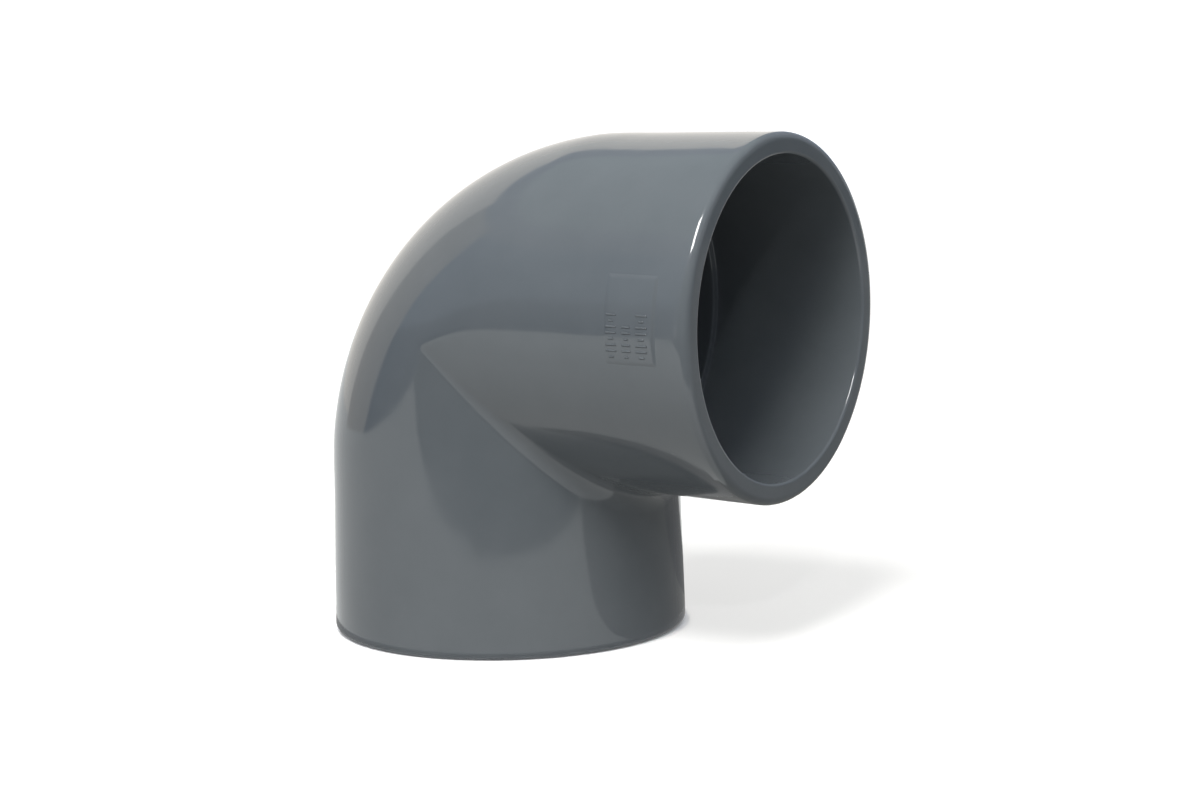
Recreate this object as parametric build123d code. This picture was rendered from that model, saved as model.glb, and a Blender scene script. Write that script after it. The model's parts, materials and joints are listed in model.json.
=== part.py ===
from build123d import *

import os
from math import cos, radians, sin, tan

# Solvent-weld 90 degree elbow for 160 mm pressure pipe: one injection moulding in grey PVC-U.
# The moulding is written as the regions that a fitting drawing names, which meet face to face.
# Millimetres. The origin is the centre of the lower mouth, on the plane that the fitting stands on.
# +Z runs up the lower socket's axis, and +X runs out along the upper socket's axis.

# Driving dimensions
pipe_diameter = 160.0
bore_allowance = 0.35          # mean socket bore over the pipe's outside diameter
mouth_wall = 10.9              # wall thickness at each mouth
outside_draft = 1.17           # degrees by which the outside of each leg narrows towards the bend
bend_radius = 84.0             # centre line of the bend's outer half
stop_step = 4.0                # radial height of the shoulder that the pipe's end meets
waterway_draft = 0.6           # degrees, left by the core pins
lip_round = 4.0                # outer edge of each mouth
lead_in_round = 1.5            # inner edge of each mouth
crease_fillet = 13.0           # inside corner where the two legs meet
crease_inset = 1.5             # the fillet starts this far in from the ends of the corner's edge

# Standard socket depth and laying length for this pipe size
socket_depth = pipe_diameter / 2 + 6.0
laying_length = pipe_diameter / 2 + 1.0

# Raised marking on the -Y side of the upper socket, as distances from the upper mouth's face
pad_height = 0.35
pad_near_end = 16.0
pad_far_end = 47.0
pad_middle_angle = 5.5         # degrees above the socket's axis
pad_arc = 29.0                 # degrees round the socket
bar_height = 0.35              # how far a bar stands above the pad
bar_arc = 0.7                  # degrees round the socket
bar_pitch = 1.8                # degrees from one bar of a row to the next
bar_start_angle = -6.0         # each row's lowest bar, from the socket's axis
short_bar_share = 0.5          # every third bar is shorter, by this share of the row's length
# Each row's distance from the mouth's face, the length of its bars and how many it has
bar_rows = ((42.0, 6.0, 8), (33.5, 5.0, 6), (25.0, 6.5, 8))

axis_height = socket_depth + laying_length
bore_radius = (pipe_diameter + bore_allowance) / 2
mouth_radius = bore_radius + mouth_wall
waterway_radius = bore_radius - stop_step
bend_start = axis_height - bend_radius
torus_clearance = 0.1          # keeps the torus off the leg's own surface where the bend starts
reach = 2 * axis_height        # longer than anything that it cuts

# The two legs are reflections of each other in this plane
mitre = Plane(origin=(axis_height, 0, 0), z_dir=(1, 0, 1))


def leg(radius, start, draft):
    """Round leg about Z that narrows upwards from a radius at height start."""
    length = reach - start
    top_radius = radius - length * tan(radians(draft))
    return Pos(0, 0, start + length / 2) * Rot(Z=180) * Cone(radius, top_radius, length)


def bend_envelope(tube_radius):
    """Half torus about the bend's own axis, with a plain disc inside it, over the lower leg's space."""
    tube = Circle(tube_radius) - Pos(0, -tube_radius) * Rectangle(2 * tube_radius, 2 * tube_radius)
    disc = Pos(0, -bend_radius / 2) * Rectangle(2 * tube_radius, bend_radius)
    section = Plane.YZ * (tube + disc)
    below_bend = Pos(0, 0, bend_start - reach / 2) * Box(reach, reach, reach)
    ring = revolve(Pos(0, 0, bend_radius) * section, axis=Axis.Y)
    return Pos(bend_radius, 0, bend_start) * ring + below_bend


def two_legs(radius, start, draft):
    """Two mitred legs with the outside of their corner rounded to the torus."""
    tube_radius = radius - (bend_start - start) * tan(radians(draft)) + torus_clearance
    rounded_leg = leg(radius, start, draft) & bend_envelope(tube_radius)
    lower = split(rounded_leg, bisect_by=mitre, keep=Keep.BOTTOM)
    return lower + mirror(lower, about=mitre)


def crease_edge(form):
    """The elliptical edge where the two legs meet."""
    ellipses = form.edges().filter_by(GeomType.ELLIPSE)
    return ellipses.filter_by(lambda edge: mitre.contains(edge.center(), 0.01))[0]


def fillet_crease(form):
    """Round the inside corner between the legs, as far out as their crease runs."""
    fillet_start = (crease_edge(form) @ 0).X + crease_inset
    across = Plane(origin=(fillet_start, 0, axis_height - fillet_start), z_dir=(1, 0, -1))
    inside = split(form, bisect_by=across, keep=Keep.TOP)
    outside = split(form, bisect_by=across, keep=Keep.BOTTOM)
    return fillet(crease_edge(inside), crease_fillet) + outside


def mouth_edges(form, radius):
    """The circles of one radius in the planes of the two mouths."""
    circles = form.edges().filter_by(GeomType.CIRCLE)
    return [edge for edge in circles if abs(edge.radius - radius) < 0.01]


def socket_bore():
    return Cylinder(bore_radius, socket_depth, align=(Align.CENTER, Align.CENTER, Align.MIN))


def moulding():
    """The whole fitting as one solid."""
    form = fillet_crease(two_legs(mouth_radius, 0, outside_draft))
    form = fillet(mouth_edges(form, mouth_radius), lip_round)
    form -= two_legs(waterway_radius, socket_depth, waterway_draft)
    form -= socket_bore()
    form -= mirror(socket_bore(), about=mitre)
    return fillet(mouth_edges(form, bore_radius), lead_in_round)


def regions(whole):
    """Cut the moulding into its two sockets and the bend between them."""
    lower_half = split(whole, bisect_by=mitre, keep=Keep.BOTTOM)
    shoulder_plane = Plane(origin=(0, 0, socket_depth))
    lower_socket = split(lower_half, bisect_by=shoulder_plane, keep=Keep.BOTTOM)
    upper_socket = mirror(lower_socket, about=mitre)
    bend = whole - lower_socket - upper_socket
    return lower_socket, bend, upper_socket


def raised_patch(inner_height, outer_height, near_end, far_end, first_angle, last_angle):
    """Patch of a skin that follows the upper socket's outside, between two heights above it."""
    skin = leg(mouth_radius + outer_height, 0, outside_draft) - leg(
        mouth_radius + inner_height, 0, outside_draft
    )
    corners = [(0, 0)]
    for angle in (first_angle, last_angle):
        corners.append((-reach * sin(radians(angle)), -reach * cos(radians(angle))))
    sector = extrude(Pos(0, 0, near_end) * make_face(Polyline(*corners, close=True)), far_end - near_end)
    return mirror(skin & sector, about=mitre)


def marking_pad():
    return raised_patch(
        0,
        pad_height,
        pad_near_end,
        pad_far_end,
        pad_middle_angle - pad_arc / 2,
        pad_middle_angle + pad_arc / 2,
    )


def marking_bars():
    """Plain raised bars in rows, where a fitting carries its size and pressure rating."""
    bars = []
    for distance, row_length, count in bar_rows:
        for index in range(count):
            length = row_length if index % 3 else row_length * short_bar_share
            near_end = distance - length / 2
            angle = bar_start_angle + index * bar_pitch
            top = pad_height + bar_height
            bars.append(raised_patch(pad_height, top, near_end, near_end + length, angle, angle + bar_arc))
    return Compound(children=bars)


def main():
    lower_socket, bend, upper_socket = regions(moulding())
    nodes = {
        "lower_socket": lower_socket,
        "bend": bend,
        "upper_socket": upper_socket,
        "marking_pad": marking_pad(),
        "marking_bars": marking_bars(),
    }
    os.makedirs("parts", exist_ok=True)
    for name, shape in nodes.items():
        export_step(shape, f"parts/{name}.step")


main()
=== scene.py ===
import json
from math import cos, pi, radians, sin, sqrt, tan

import bmesh
import bpy
import numpy as np
from mathutils import Matrix, Vector


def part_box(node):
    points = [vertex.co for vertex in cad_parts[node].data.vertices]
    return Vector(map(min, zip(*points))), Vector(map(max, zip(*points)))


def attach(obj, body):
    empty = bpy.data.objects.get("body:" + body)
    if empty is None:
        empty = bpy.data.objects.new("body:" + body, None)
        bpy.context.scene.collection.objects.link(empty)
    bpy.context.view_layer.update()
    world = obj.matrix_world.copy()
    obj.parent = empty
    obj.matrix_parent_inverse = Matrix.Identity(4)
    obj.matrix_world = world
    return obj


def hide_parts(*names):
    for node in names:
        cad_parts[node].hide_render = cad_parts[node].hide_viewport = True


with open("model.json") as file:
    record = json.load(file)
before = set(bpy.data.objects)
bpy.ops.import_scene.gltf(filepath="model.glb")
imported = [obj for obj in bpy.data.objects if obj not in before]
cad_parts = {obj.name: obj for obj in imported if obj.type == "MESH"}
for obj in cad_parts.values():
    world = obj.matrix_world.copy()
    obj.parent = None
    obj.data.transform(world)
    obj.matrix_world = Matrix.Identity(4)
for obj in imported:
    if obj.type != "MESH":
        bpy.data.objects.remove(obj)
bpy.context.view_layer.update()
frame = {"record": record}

# The elbow's dimensions in metres, from the frame where it states them.
MOUNTS = {mount["name"]: mount for mount in frame["record"]["mounts"]}
AXIS_HEIGHT = MOUNTS["upper_mouth_face"]["pos_m"][2]
BORE_RADIUS = MOUNTS["upper_socket_bore"]["dims"]["r_mm"] / 1000
MOUTH_WALL = 0.0109
SHOULDER_WIDTH = 0.004
MOUTH_RADIUS = BORE_RADIUS + MOUTH_WALL
WATERWAY_RADIUS = BORE_RADIUS - SHOULDER_WIDTH
SOCKET_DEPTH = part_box("lower_socket")[1].z
BEND_RADIUS = 0.084
BEND_START = AXIS_HEIGHT - BEND_RADIUS
OUTSIDE_DRAFT = tan(radians(1.17))
WATERWAY_DRAFT = tan(radians(0.6))
LIP_ROUND = 0.004
LEAD_IN_ROUND = 0.0015
STOP_ROUND = 0.0008
CREASE_FILLET = 0.013
WATERWAY_EDGE_ROUND = 0.0015

# How the rounded back of the bend runs into the tapered legs
BLEND_DEPTH = 0.0008      # softens the line where they meet
TORUS_CLEARANCE = 0.0001  # keeps the torus just outside the legs there
EASE_LENGTH = 0.03        # past the bend's ends, the torus is let go from about here
EASE_SLOPE = 0.05         # by this share of the distance

# How fine the surface is
AROUND = 320              # points in each ring
LEVEL_RINGS = 11
OUTSIDE_FAN_RINGS = 96
WATERWAY_FAN_RINGS = 48
BORE_RINGS = 24
LIP_STEPS = 10
LEAD_IN_STEPS = 8
STOP_STEPS = 4
FACE_RING_SHARES = (0.06, 0.5, 0.94)
CAST_REACH = 1.6 * MOUTH_RADIUS
CAST_HALVINGS = 42

# Where the moulding is cut into its named regions
CUT_BELOW_SHOULDER = 0.0005
CUT_TOLERANCE = 1e-7
IN_PLANE_TOLERANCE = 2e-6

# The raised marking on the upper socket's -Y side. Lengths are in metres, the ends are distances
# from the mouth's face, and angles are in degrees above the socket's axis.
PAD_NEAR_END = 0.016
PAD_FAR_END = 0.047
PAD_MIDDLE_ANGLE = 5.5
PAD_ARC = 29.0
PAD_HEIGHT = 0.00035
PAD_SINK = 0.0002         # how far the pad's underside reaches into the socket
PAD_ROUND_OFF = 0.0035
PAD_CELL = 0.0007
BAR_HEIGHT = 0.00035
BAR_ARC = 0.7
BAR_PITCH = 1.8
BAR_START_ANGLE = -6.0
SHORT_BAR_SHARE = 0.5
BAR_ROUND_OFF = 0.0004
BAR_CELL = 0.00025
# Each row's distance from the mouth's face, the length of its bars and how many it has
BAR_ROWS = ((0.042, 0.006, 8), (0.0335, 0.005, 6), (0.025, 0.0065, 8))

ELBOW_MIDDLE = (0.03, 0, 0.13)


def linked(name, data):
    """New object with that data, in the scene."""
    thing = bpy.data.objects.new(name, data)
    bpy.context.scene.collection.objects.link(thing)
    return thing


# ---------------------------------------------------------------- the elbow's surface

def soft_max(a, b, depth):
    """The larger of two distances, rounded off where they are about equal."""
    overlap = np.maximum(depth - np.abs(a - b), 0) / depth
    return np.maximum(a, b) + overlap**2 * depth / 4


def filleted_union(lower, upper, cosine, radius):
    """Distance outside two surfaces joined by a rolled fillet; cosine is between their normals."""
    a = radius - lower
    b = radius - upper
    spread = np.maximum(1 - cosine**2, 1e-6)
    from_ball = np.sqrt(np.maximum(a * a + b * b - 2 * a * b * cosine, 0) / spread)
    in_fillet = (a > cosine * b) & (b > cosine * a)
    return np.where(in_fillet, radius - from_ball, np.minimum(lower, upper))


def elbow_distance(points, radius, start, draft, fillet):
    """How far points lie outside two tapered legs, mitred, filleted inside and rounded outside.

    The lower leg has that radius at height start, and the upper leg is its mirror image."""
    x, y, z = points[..., 0], points[..., 1], points[..., 2]
    below_axis = AXIS_HEIGHT - z
    from_mouth = AXIS_HEIGHT - x
    to_lower_axis = np.hypot(x, y)
    to_upper_axis = np.hypot(below_axis, y)
    lower = to_lower_axis - (radius - draft * (z - start))
    upper = to_upper_axis - (radius - draft * (from_mouth - start))
    cosine = y * y / np.maximum(to_lower_axis * to_upper_axis, 1e-9)
    creased = filleted_union(lower, upper, cosine, fillet)
    mitred = np.where(x < below_axis, lower, upper)
    legs = np.where((x > 0) & (below_axis > 0), creased, mitred)

    tube = radius - draft * (BEND_START - start) + TORUS_CLEARANCE
    along_x = np.minimum(x, BEND_RADIUS) - BEND_RADIUS
    along_z = np.maximum(z, BEND_START) - BEND_START
    out_from_bend_axis = np.hypot(along_x, along_z) - BEND_RADIUS
    torus = np.where(out_from_bend_axis > 0, np.hypot(out_from_bend_axis, y), np.abs(y)) - tube
    past_bend = np.maximum(BEND_START - z, 0) + np.maximum(x - BEND_RADIUS, 0)
    eased = np.hypot(past_bend, EASE_LENGTH) - EASE_LENGTH
    return soft_max(legs, torus - EASE_SLOPE * eased, BLEND_DEPTH)


def flat_ring(radius, height):
    angle = np.arange(AROUND) * 2 * pi / AROUND
    return np.stack(
        [-radius * np.cos(angle), radius * np.sin(angle), np.full(AROUND, height)], axis=1
    )


def cast_ring(centre, outward, field):
    """Ring of points where the plane through centre, Y and outward cuts the field's surface."""
    angle = np.arange(AROUND) * 2 * pi / AROUND
    ray = np.cos(angle)[:, None] * outward + np.sin(angle)[:, None] * np.array([0.0, 1.0, 0.0])
    near = np.zeros(AROUND)
    far = np.full(AROUND, CAST_REACH)
    for _ in range(CAST_HALVINGS):
        middle = (near + far) / 2
        inside = field(centre + middle[:, None] * ray) < 0
        near = np.where(inside, middle, near)
        far = np.where(inside, far, middle)
    return centre + near[:, None] * ray


def fan_rings(field, pivot_x, count, tube_radius):
    """Rings in planes that fan from level to the mitre plane about a pivot outside the crease."""
    pivot = np.array([pivot_x, 0.0, AXIS_HEIGHT - pivot_x])
    crease_span = (pivot_x - tube_radius) * sqrt(2)
    outer_span = (pivot_x - BEND_RADIUS) * sqrt(2) + BEND_RADIUS + tube_radius
    mitre_middle = (crease_span + outer_span) / 2
    rings = []
    for step in range(1, count + 1):
        share = step / count
        turn = share * pi / 4
        outward = np.array([-cos(turn), 0.0, sin(turn)])
        level_middle = pivot_x / cos(turn)
        middle = level_middle + (mitre_middle - level_middle) * share**2
        rings.append(cast_ring(pivot + middle * outward, outward, field))
    return rings


def rounded_corner(centre_radius, centre_height, size, from_degrees, to_degrees, steps):
    """Rings along an arc of the profile, from 0 degrees outwards to 90 degrees upwards."""
    rings = []
    for step in range(steps + 1):
        angle = radians(from_degrees + (to_degrees - from_degrees) * step / steps)
        rings.append(
            flat_ring(centre_radius + size * cos(angle), centre_height + size * sin(angle))
        )
    return rings


def outside_rings():
    """Lower half of the outside, from its lip up to the mitre plane."""
    def field(points):
        return elbow_distance(points, MOUTH_RADIUS, 0, OUTSIDE_DRAFT, CREASE_FILLET)

    pivot_x = 1.35 * MOUTH_RADIUS
    top = AXIS_HEIGHT - pivot_x
    tube_radius = MOUTH_RADIUS - OUTSIDE_DRAFT * AXIS_HEIGHT / 2
    rings = []
    for height in np.linspace(LIP_ROUND, top, LEVEL_RINGS + 1)[1:]:
        rings.append(cast_ring(np.array([0, 0, height]), np.array([-1.0, 0, 0]), field))
    return rings + fan_rings(field, pivot_x, OUTSIDE_FAN_RINGS, tube_radius)


def mouth_rings():
    """The lip, the flat face, the lead-in, the bore, the shoulder and the waterway's start."""
    lip_centre = MOUTH_RADIUS - OUTSIDE_DRAFT * LIP_ROUND - LIP_ROUND
    face_inside = BORE_RADIUS + LEAD_IN_ROUND
    rings = rounded_corner(lip_centre, LIP_ROUND, LIP_ROUND, 0, -90, LIP_STEPS)
    for share in FACE_RING_SHARES:
        rings.append(flat_ring(lip_centre + (face_inside - lip_centre) * share, 0))
    rings += rounded_corner(
        face_inside, LEAD_IN_ROUND, LEAD_IN_ROUND, -90, -180, LEAD_IN_STEPS
    )
    stop_corner = SOCKET_DEPTH - STOP_ROUND
    for height in np.linspace(LEAD_IN_ROUND, stop_corner, BORE_RINGS + 2)[1:-1]:
        rings.append(flat_ring(BORE_RADIUS, height))
    rings += rounded_corner(
        BORE_RADIUS - STOP_ROUND, stop_corner, STOP_ROUND, 0, 90, STOP_STEPS
    )
    rings.append(flat_ring((BORE_RADIUS + WATERWAY_RADIUS) / 2, SOCKET_DEPTH))
    shoulder_edge = SOCKET_DEPTH + STOP_ROUND
    return rings + rounded_corner(
        WATERWAY_RADIUS + STOP_ROUND, shoulder_edge, STOP_ROUND, -90, -180, STOP_STEPS
    )


def waterway_rings():
    """Lower half of the waterway, from just above the shoulder up to the mitre plane."""
    def field(points):
        return elbow_distance(
            points, WATERWAY_RADIUS, SOCKET_DEPTH, WATERWAY_DRAFT, WATERWAY_EDGE_ROUND
        )

    pivot_x = AXIS_HEIGHT - SOCKET_DEPTH - 2 * STOP_ROUND
    return fan_rings(field, pivot_x, WATERWAY_FAN_RINGS, WATERWAY_RADIUS)


def mirrored(ring):
    """The ring's reflection in the mitre plane, which swaps the two legs."""
    return np.stack([AXIS_HEIGHT - ring[:, 2], ring[:, 1], AXIS_HEIGHT - ring[:, 0]], axis=1)


def elbow_mesh():
    """The whole moulding's surface as one closed chain of rings."""
    half = outside_rings()[::-1] + mouth_rings() + waterway_rings()
    chain = half + [mirrored(ring) for ring in half[-2:0:-1]]
    count = len(chain)
    ring_index = np.arange(count)[:, None]
    point_index = np.arange(AROUND)[None, :]
    next_ring = (ring_index + 1) % count
    next_point = (point_index + 1) % AROUND
    corners = np.stack(
        [
            ring_index * AROUND + point_index,
            next_ring * AROUND + point_index,
            next_ring * AROUND + next_point,
            ring_index * AROUND + next_point,
        ],
        axis=-1,
    ).reshape(-1, 4)
    mesh = bpy.data.meshes.new("elbow_surface")
    mesh.from_pydata(np.concatenate(chain).tolist(), [], corners.tolist())
    mesh.update()
    return mesh


# ---------------------------------------------------------------- the moulding's named regions

def cut_away(bm, point, direction):
    """Remove what lies beyond a plane, in the sense of its direction."""
    everything = bm.verts[:] + bm.edges[:] + bm.faces[:]
    bmesh.ops.bisect_plane(
        bm,
        geom=everything,
        plane_co=point,
        plane_no=direction,
        clear_outer=True,
        dist=CUT_TOLERANCE,
    )


def close_cut(bm, cap_layer, cut_planes):
    """Close an open surface with flat faces in the planes that cut it."""
    for point, direction in cut_planes:
        def in_plane(edge):
            offsets = [abs((vert.co - point).dot(direction)) for vert in edge.verts]
            return max(offsets) < IN_PLANE_TOLERANCE

        rim = [edge for edge in bm.edges if edge.is_boundary and in_plane(edge)]
        uses = {}
        for edge in rim:
            for vert in edge.verts:
                uses[vert] = uses.get(vert, 0) + 1
        loose_ends = [vert for vert, times in uses.items() if times == 1]
        if len(loose_ends) == 2:
            chord = bm.edges.get(loose_ends) or bm.edges.new(loose_ends)
            rim.append(chord)
        filled = bmesh.ops.triangle_fill(bm, use_beauty=True, use_dissolve=False, edges=rim)
        for face in filled["geom"]:
            if isinstance(face, bmesh.types.BMFace):
                face[cap_layer] = 1


def region(name, surface, cut_planes):
    """One named region of the moulding, closed where it was cut and shaded as the whole surface."""
    bm = bmesh.new()
    bm.from_mesh(surface)
    normal_layer = bm.verts.layers.float_vector.new("surface_normal")
    cap_layer = bm.faces.layers.int.new("cap")
    bm.normal_update()
    for vert in bm.verts:
        vert[normal_layer] = vert.normal
    for point, direction in cut_planes:
        cut_away(bm, point, direction)
    close_cut(bm, cap_layer, cut_planes)
    bmesh.ops.recalc_face_normals(bm, faces=bm.faces[:])
    corner_normals = []
    for face in bm.faces:
        face.smooth = True
        for loop in face.loops:
            corner_normals.append(face.normal if face[cap_layer] else loop.vert[normal_layer])
    corner_normals = [normal.normalized() for normal in corner_normals]
    mesh = bpy.data.meshes.new(name)
    bm.to_mesh(mesh)
    bm.free()
    mesh.normals_split_custom_set(corner_normals)
    return linked(name, mesh)


def moulding_regions():
    """The lower socket, the bend and the upper socket, cut as the CAD nodes are."""
    surface = elbow_mesh()
    bm = bmesh.new()
    bm.from_mesh(surface)
    bmesh.ops.recalc_face_normals(bm, faces=bm.faces[:])
    bm.to_mesh(surface)
    bm.free()
    cut = SOCKET_DEPTH - CUT_BELOW_SHOULDER
    level = (Vector((0, 0, cut)), Vector((0, 0, 1)))
    upright = (Vector((AXIS_HEIGHT - cut, 0, 0)), Vector((-1, 0, 0)))
    mitre = (Vector((AXIS_HEIGHT, 0, 0)), Vector((1, 0, 1)).normalized())

    def flipped(plane):
        return plane[0], -plane[1]

    pieces = {
        "lower_socket": region("lower_socket_moulding", surface, [level, mitre]),
        "bend": region("bend_moulding", surface, [flipped(level), flipped(upright)]),
        "upper_socket": region("upper_socket_moulding", surface, [upright, flipped(mitre)]),
    }
    bpy.data.meshes.remove(surface)
    return pieces


# ---------------------------------------------------------------- raised marking

def marking_patch(bm, near_end, far_end, low_angle, high_angle, base, top, round_off, cell):
    """Closed patch with softly rounded edges that follows the upper socket's -Y side.

    base and top are heights above the socket's side, and cell is the size of its faces."""
    radius = MOUTH_RADIUS
    steps_along = max(4, int((far_end - near_end) / cell))
    steps_round = max(4, int(radians(high_angle - low_angle) * radius / cell))
    half_along = (far_end - near_end) / 2
    half_round = radians(high_angle - low_angle) * radius / 2

    def vert_at(i, j, raised):
        along = -half_along + 2 * half_along * i / steps_along
        arc = -half_round + 2 * half_round * j / steps_round
        inset = min(half_along - abs(along), half_round - abs(arc))
        rise = min(inset / round_off, 1)
        height = base + (top - base) * rise * rise * (3 - 2 * rise) if raised else base
        distance = near_end + half_along + along
        angle = radians(low_angle) + (half_round + arc) / radius
        out = radius - OUTSIDE_DRAFT * distance + height
        place = (AXIS_HEIGHT - distance, -out * cos(angle), AXIS_HEIGHT + out * sin(angle))
        return bm.verts.new(place)

    on_edge = set()
    tops = {}
    bottoms = {}
    for i in range(steps_along + 1):
        for j in range(steps_round + 1):
            tops[i, j] = vert_at(i, j, True)
            on_rim = i in (0, steps_along) or j in (0, steps_round)
            bottoms[i, j] = tops[i, j] if on_rim else vert_at(i, j, False)
            if on_rim:
                on_edge.add((i, j))
    for i in range(steps_along):
        for j in range(steps_round):
            corners = [(i, j), (i + 1, j), (i + 1, j + 1), (i, j + 1)]
            bm.faces.new([tops[key] for key in corners])
            if not all(key in on_edge for key in corners):
                bm.faces.new([bottoms[key] for key in reversed(corners)])


def marking_piece(name, patches):
    bm = bmesh.new()
    for patch in patches:
        marking_patch(bm, *patch)
    bmesh.ops.recalc_face_normals(bm, faces=bm.faces[:])
    for face in bm.faces:
        face.smooth = True
    mesh = bpy.data.meshes.new(name)
    bm.to_mesh(mesh)
    bm.free()
    return linked(name, mesh)


def marking_pad():
    low = PAD_MIDDLE_ANGLE - PAD_ARC / 2
    high = PAD_MIDDLE_ANGLE + PAD_ARC / 2
    ends = (PAD_NEAR_END, PAD_FAR_END, low, high)
    patch = (*ends, -PAD_SINK, PAD_HEIGHT, PAD_ROUND_OFF, PAD_CELL)
    return marking_piece("marking_pad_moulding", [patch])


def marking_bars():
    """Three rows of small bars that stand for the moulded lettering; every third one is short."""
    top = PAD_HEIGHT + BAR_HEIGHT
    patches = []
    for distance, row_length, count in BAR_ROWS:
        for index in range(count):
            length = row_length if index % 3 else row_length * SHORT_BAR_SHARE
            near_end = distance - length / 2
            angle = BAR_START_ANGLE + index * BAR_PITCH
            ends = (near_end, near_end + length, angle, angle + BAR_ARC)
            patches.append((*ends, PAD_HEIGHT, top, BAR_ROUND_OFF, BAR_CELL))
    return marking_piece("marking_bars_moulding", patches)


# ---------------------------------------------------------------- material

class Nodes:
    """Small helper that adds and joins a material's shader nodes."""

    def __init__(self, name):
        self.material = bpy.data.materials.new(name)
        self.material.use_nodes = True
        self.tree = self.material.node_tree
        self.shader = self.tree.nodes["Principled BSDF"]

    def add(self, kind, values=None, **settings):
        node = self.tree.nodes.new(kind)
        for key, value in settings.items():
            setattr(node, key, value)
        for key, value in (values or {}).items():
            node.inputs[key].default_value = value
        return node

    def join(self, source, target):
        self.tree.links.new(source, target)

    def noise(self, place, scale, detail=3.0, roughness=0.5):
        values = {"Scale": scale, "Detail": detail, "Roughness": roughness}
        node = self.add("ShaderNodeTexNoise", values)
        self.join(place, node.inputs["Vector"])
        return node.outputs["Fac"]

    def remap(self, value, low, high, to_low, to_high):
        node = self.add("ShaderNodeMapRange", {1: low, 2: high, 3: to_low, 4: to_high})
        self.join(value, node.inputs[0])
        return node.outputs[0]

    def maths(self, operation, a, b):
        node = self.add("ShaderNodeMath", operation=operation)
        for socket, value in zip(node.inputs, (a, b)):
            if isinstance(value, (int, float)):
                socket.default_value = value
            else:
                self.join(value, socket)
        return node.outputs[0]

    def mix_colour(self, share, a, b):
        node = self.add("ShaderNodeMix", data_type="RGBA")
        for socket, value in ((node.inputs[0], share), (node.inputs[6], a), (node.inputs[7], b)):
            if isinstance(value, (tuple, int, float)):
                socket.default_value = value
            else:
                self.join(value, socket)
        return node.outputs[2]


def grey_pvc(name):
    """Dark blue-grey PVC-U as it leaves the mould: glossy, with faint flow and handling marks."""
    m = Nodes(name)
    place = m.add("ShaderNodeTexCoord").outputs["Object"]
    broad = m.noise(place, 9.0, 2.0)
    cloud = m.noise(place, 38.0, 4.0, 0.6)
    grain = m.noise(place, 900.0, 3.0, 0.6)
    stretched = m.add("ShaderNodeMapping", {"Scale": (1.0, 0.18, 1.0)})
    m.join(place, stretched.inputs["Vector"])
    flow = m.noise(stretched.outputs["Vector"], 75.0, 5.0, 0.65)

    dark = (0.084, 0.094, 0.101, 1)
    light = (0.100, 0.110, 0.117, 1)
    speck = (0.140, 0.150, 0.155, 1)
    tone = m.maths("ADD", m.maths("MULTIPLY", broad, 0.6), m.maths("MULTIPLY", cloud, 0.4))
    body = m.mix_colour(m.remap(tone, 0.3, 0.7, 0, 1), dark, light)
    specks = m.remap(grain, 0.66, 0.78, 0, 0.25)
    m.join(m.mix_colour(specks, body, speck), m.shader.inputs["Base Color"])

    dulled = m.remap(cloud, 0.35, 0.75, 0.07, 0.11)
    streaks = m.remap(flow, 0.45, 0.8, 0, 0.04)
    m.join(m.maths("ADD", dulled, streaks), m.shader.inputs["Roughness"])
    m.shader.inputs["IOR"].default_value = 1.53
    m.shader.inputs["Specular IOR Level"].default_value = 0.5

    height = m.maths("ADD", m.maths("MULTIPLY", grain, 0.15), m.maths("MULTIPLY", flow, 0.85))
    texture = m.add("ShaderNodeBump", {"Strength": 0.035, "Distance": 0.0002})
    m.join(height, texture.inputs["Height"])
    sink = m.add("ShaderNodeBump", {"Strength": 0.5, "Distance": 0.0007})
    m.join(m.noise(place, 24.0, 1.0), sink.inputs["Height"])
    m.join(texture.outputs["Normal"], sink.inputs["Normal"])
    m.join(sink.outputs["Normal"], m.shader.inputs["Normal"])
    return m.material


# ---------------------------------------------------------------- stage, light and camera

def photo_camera():
    """Camera at the photograph's viewing angle.

    Its turns are in radians, and its target and distance are in mouth radii."""
    yaw = 0.5815
    pitch = 0.1509
    roll = 0.0240
    target = Vector((0.6452, 0, 1.3233)) * MOUTH_RADIUS
    distance = 17.597 * MOUTH_RADIUS
    forward = Vector((-sin(yaw) * cos(pitch), cos(yaw) * cos(pitch), -sin(pitch)))
    right = Vector((cos(yaw), sin(yaw), 0))
    down = forward.cross(right)
    rolled_right = right * cos(roll) + down * sin(roll)
    rolled_down = down * cos(roll) - right * sin(roll)
    camera = linked("photo_camera", bpy.data.cameras.new("photo_camera"))
    camera.data.lens = 94.94
    camera.data.sensor_width = 36.0
    turn = Matrix((rolled_right, -rolled_down, -forward)).transposed()
    camera.matrix_world = Matrix.Translation(target - forward * distance) @ turn.to_4x4()
    bpy.context.scene.camera = camera


def towards(azimuth, distance, height):
    """Place at that distance from the elbow; azimuth is in degrees from -Y towards +X."""
    turn = radians(azimuth)
    return Vector((distance * sin(turn), -distance * cos(turn), height))


def strip(name, first, last, lower_edge, upper_edge, centre=Vector((0, 0, 0))):
    """Stage piece round a centre between two azimuths; an edge is a distance and a height."""
    steps = 48
    verts = []
    for distance, height in (lower_edge, upper_edge):
        for step in range(steps + 1):
            turn = first + (last - first) * step / steps
            verts.append(centre + towards(turn, distance, height))
    faces = [(i, i + 1, steps + 2 + i, steps + 1 + i) for i in range(steps)]
    mesh = bpy.data.meshes.new(name)
    mesh.from_pydata(verts, [], faces)
    piece = linked(name, mesh)
    return piece


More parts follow.
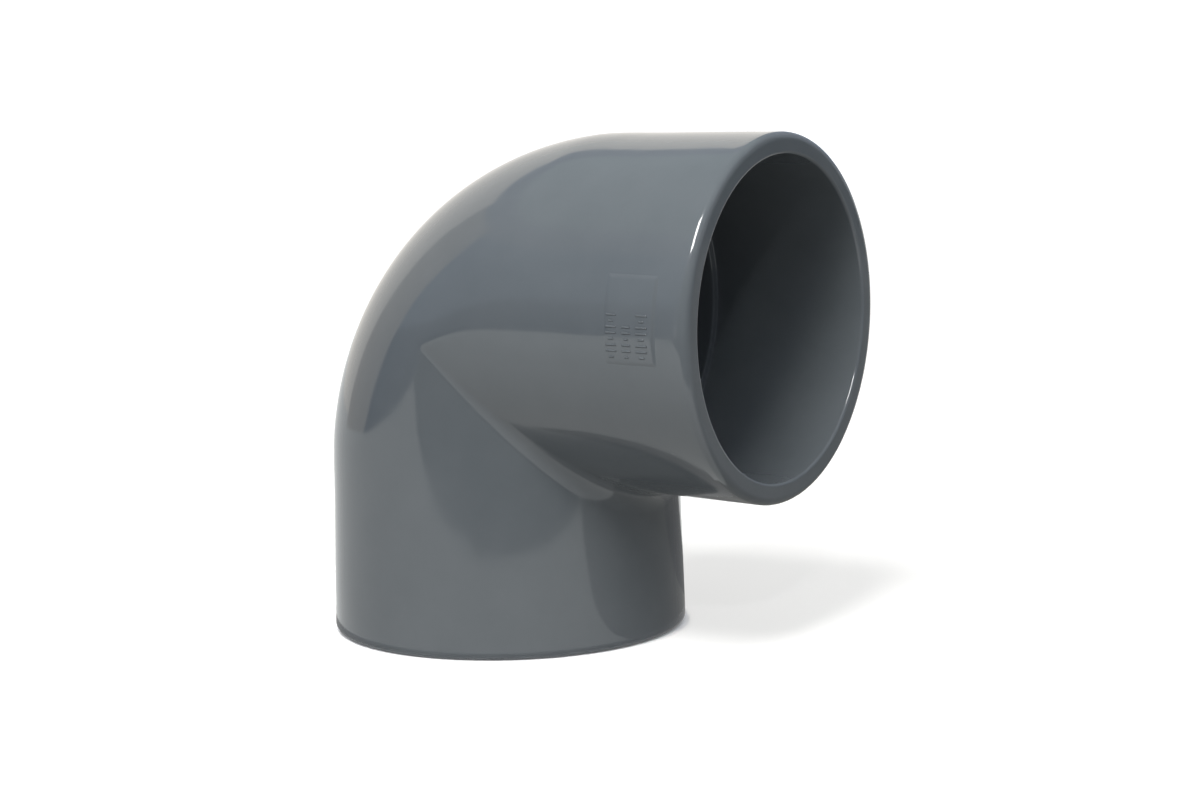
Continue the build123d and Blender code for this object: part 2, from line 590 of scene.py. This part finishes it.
def pale_floor():
    """Flat pale floor past the edge of every view, which glows a little to soften shadows."""
    floor = strip("floor", -180, 180, (0.001, 0), (80.0, 0))
    m = Nodes("pale_floor")
    place = m.add("ShaderNodeTexCoord").outputs["Object"]
    mottle = m.remap(m.noise(place, 3.0), 0.3, 0.7, 0, 1)
    tone = m.mix_colour(mottle, (0.69, 0.69, 0.69, 1), (0.71, 0.71, 0.71, 1))
    m.join(tone, m.shader.inputs["Base Color"])
    m.shader.inputs["Roughness"].default_value = 0.9
    m.shader.inputs["Emission Color"].default_value = (1, 1, 1, 1)
    from_elbow = m.add("ShaderNodeVectorMath", operation="LENGTH")
    m.join(place, from_elbow.inputs[0])
    glow = m.remap(from_elbow.outputs["Value"], 0.4, 4.0, 0.34, 0.66)
    lip = MOUTH_RADIUS - LIP_ROUND
    outside = m.remap(from_elbow.outputs["Value"], lip, MOUTH_RADIUS, 0, 1)
    m.join(m.maths("MULTIPLY", glow, outside), m.shader.inputs["Emission Strength"])
    floor.data.materials.append(m.material)


def seen_only_by(rays, card, radiance):
    """Give a card an even radiance that one kind of ray sees: camera, diffuse or glossy."""
    m = Nodes(card.name)
    m.shader.inputs["Base Color"].default_value = (0, 0, 0, 1)
    m.shader.inputs["Specular IOR Level"].default_value = 0.0
    m.shader.inputs["Emission Color"].default_value = (*radiance, 1)
    m.shader.inputs["Emission Strength"].default_value = 1.0
    card.data.materials.append(m.material)
    card.visible_shadow = False
    card.visible_camera = rays == "camera"
    card.visible_diffuse = rays == "diffuse"
    card.visible_glossy = rays == "glossy"


def reflected_room():
    """What a glossy elbow mirrors in a plain room, as cards that only its reflections see.

    Each card has two azimuths, two edges as a distance and a height, and a radiance."""
    lip = MOUTH_RADIUS - LIP_ROUND
    foot = MOUTH_RADIUS + 0.010
    low = 0.001     # just above the floor
    dim = (0.05, 0.06, 0.07)
    cards = (
        ("foot_shade", -180, 180, (lip, low), (foot, low), (0.35, 0.35, 0.35)),
        ("floor_left", -180, 80, (foot, low), (6.0, low), (0.93, 0.95, 0.94)),
        ("floor_right", 80, 150, (foot, low), (6.0, low), (0.28, 0.28, 0.27)),
        ("floor_back_near", 150, 180, (foot, low), (0.45, low), (0.20, 0.20, 0.20)),
        ("floor_back_far", 150, 180, (0.45, low), (6.0, low), (0.90, 0.89, 0.86)),
        ("dim_front", -25, 150, (2.0, 0), (2.0, 1.6), dim),
        ("dim_left", -72, -25, (1.4, 0), (1.4, 0.42), (0.0, 0.03, 0.10)),
        ("blue_left", -72, -25, (1.5, 0), (1.5, 1.25), (0.20, 0.28, 0.40)),
        ("beige_left", -97, -72, (1.5, 0), (1.5, 1.35), (0.66, 0.63, 0.59)),
        ("bright_left", -156, -97, (2.4, 0), (2.4, 2.1), (1.15, 1.11, 1.04)),
        ("ceiling", -180, 180, (0.001, 2.4), (2.2, 2.4), (0.48, 0.57, 0.60)),
    )
    for name, first, last, lower_edge, upper_edge, radiance in cards:
        seen_only_by("glossy", strip(name, first, last, lower_edge, upper_edge), radiance)
    dim_floor = strip("dim_floor", -180, 180, (0.001, 0.003), (2.8, 0.003), towards(35, 3.2, 0))
    seen_only_by("glossy", dim_floor, dim)


def dim_bounce():
    """Soft dim floor that only lights the elbow from below, so that its underside stays dark."""
    foot = MOUTH_RADIUS + 0.002
    card = strip("dim_bounce", -180, 180, (foot, 0.0005), (3.0, 0.0005))
    seen_only_by("diffuse", card, (0.55, 0.55, 0.54))


def far_backdrop():
    """White surround beyond the floor, for views low enough to see past the floor's edge."""
    seen_only_by("camera", strip("backdrop", -180, 180, (79.0, 0), (79.0, 60.0)), (1.0, 1.0, 1.0))


def add_light(name, kind, place, energy, colour, aim=ELBOW_MIDDLE):
    light = bpy.data.lights.new(name, kind)
    light.energy = energy
    light.color = colour
    lamp = linked(name, light)
    lamp.location = place
    lamp.rotation_euler = (Vector(aim) - place).to_track_quat("-Z", "Y").to_euler()
    lamp.visible_camera = False
    return lamp


def area_light(name, place, size, radiance, colour):
    """Rectangular panel that faces the elbow, with a radiance of its own."""
    lamp = add_light(name, "AREA", place, radiance * pi * size[0] * size[1], colour)
    lamp.data.shape = "RECTANGLE"
    lamp.data.size, lamp.data.size_y = size
    return lamp


def studio():
    world = bpy.data.worlds.new("studio")
    bpy.context.scene.world = world
    world.use_nodes = True
    background = world.node_tree.nodes["Background"]
    background.inputs["Color"].default_value = (0.80, 0.90, 1.10, 1)
    background.inputs["Strength"].default_value = 0.42

    overhead = add_light("overhead", "SUN", towards(20, 2.0, 3.5), 0.9, (1, 1, 1))
    overhead.data.angle = radians(90)
    overhead.visible_glossy = False

    window = area_light("window", towards(-125, 2.4, 1.0), (3.0, 2.5), 0.5, (1.0, 0.96, 0.88))
    window.visible_glossy = False
    area_light("key", towards(20, 1.2, 1.7), (0.7, 0.7), 28.0, (1.0, 0.99, 0.97))

    bore_side = (0.13, 0.07, 0.12)
    bore_spot = add_light("bore_spot", "SPOT", towards(38, 1.7, 1.1), 85.0, (1, 1, 1), bore_side)
    bore_spot.data.spot_size = radians(5.2)
    bore_spot.data.spot_blend = 1.0
    bore_spot.data.shadow_soft_size = 0.15
    bore_spot.visible_glossy = False

    bpy.context.scene.view_settings.view_transform = "Standard"


# ---------------------------------------------------------------- assembly

pieces = moulding_regions()
pieces["marking_pad"] = marking_pad()
pieces["marking_bars"] = marking_bars()
pvc = grey_pvc("grey_pvc_gloss")
for node, piece in pieces.items():
    piece.data.materials.append(pvc)
    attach(piece, "root")
    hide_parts(node)

pale_floor()
reflected_room()
dim_bounce()
far_backdrop()
studio()
photo_camera()
